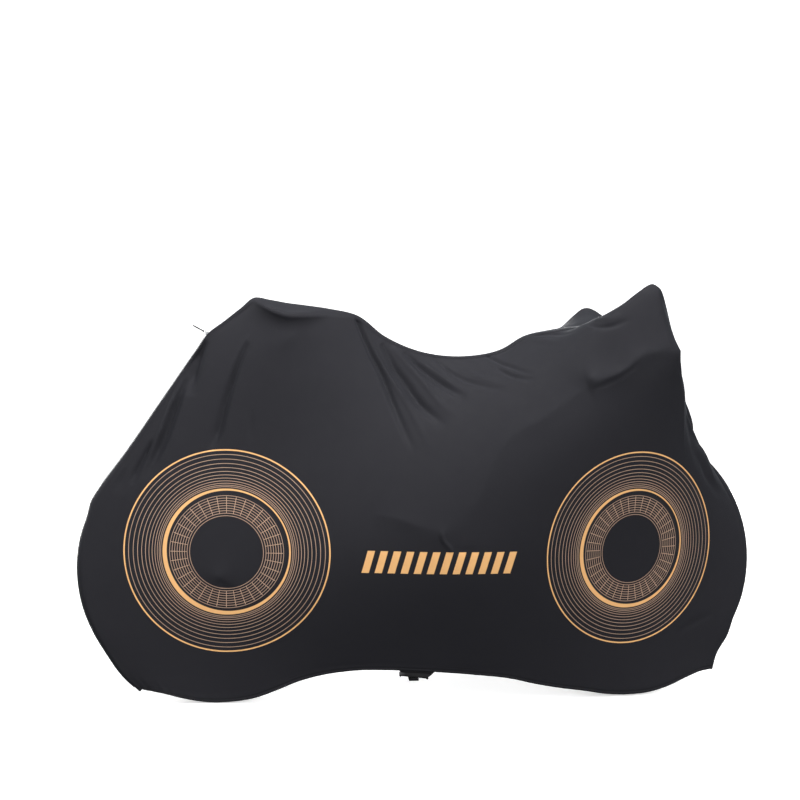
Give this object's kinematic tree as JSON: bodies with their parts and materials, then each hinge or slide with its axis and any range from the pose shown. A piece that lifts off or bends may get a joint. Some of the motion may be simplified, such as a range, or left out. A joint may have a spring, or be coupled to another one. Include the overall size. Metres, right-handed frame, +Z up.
{
  "type": "bicycle cover",
  "caption": "Fitted stretch cloth cover for a whole bicycle, open below, with a closed zip on its rear edge and a short strap that crosses under its middle.",
  "frame": {"origin": "the point just under the cloth at the crown, where what is inside holds the cover up", "axes": "+X to the cover's front, +Y to its left side, +Z up"},
  "size_m": [1.6779, 0.461, 1.0159],
  "materials": {
    "knit_black": "matte stretch knit",
    "zip_black": "matte coil and tape",
    "metal_light": "plain light metal",
    "pull_dark": "dark satin",
    "webbing_black": "ribbed webbing",
    "plastic_black": "moulded, matte"
  },
  "bodies": {
    "root": {"panel_right": "knit_black", "panel_left": "knit_black", "zip_chain": "zip_black", "zip_slider": "metal_light", "zip_ring": "metal_light", "zip_pull": "pull_dark", "tab_right": "webbing_black", "tab_left": "webbing_black", "buckle": "plastic_black", "strap": "webbing_black"}
  },
  "joints": []
}
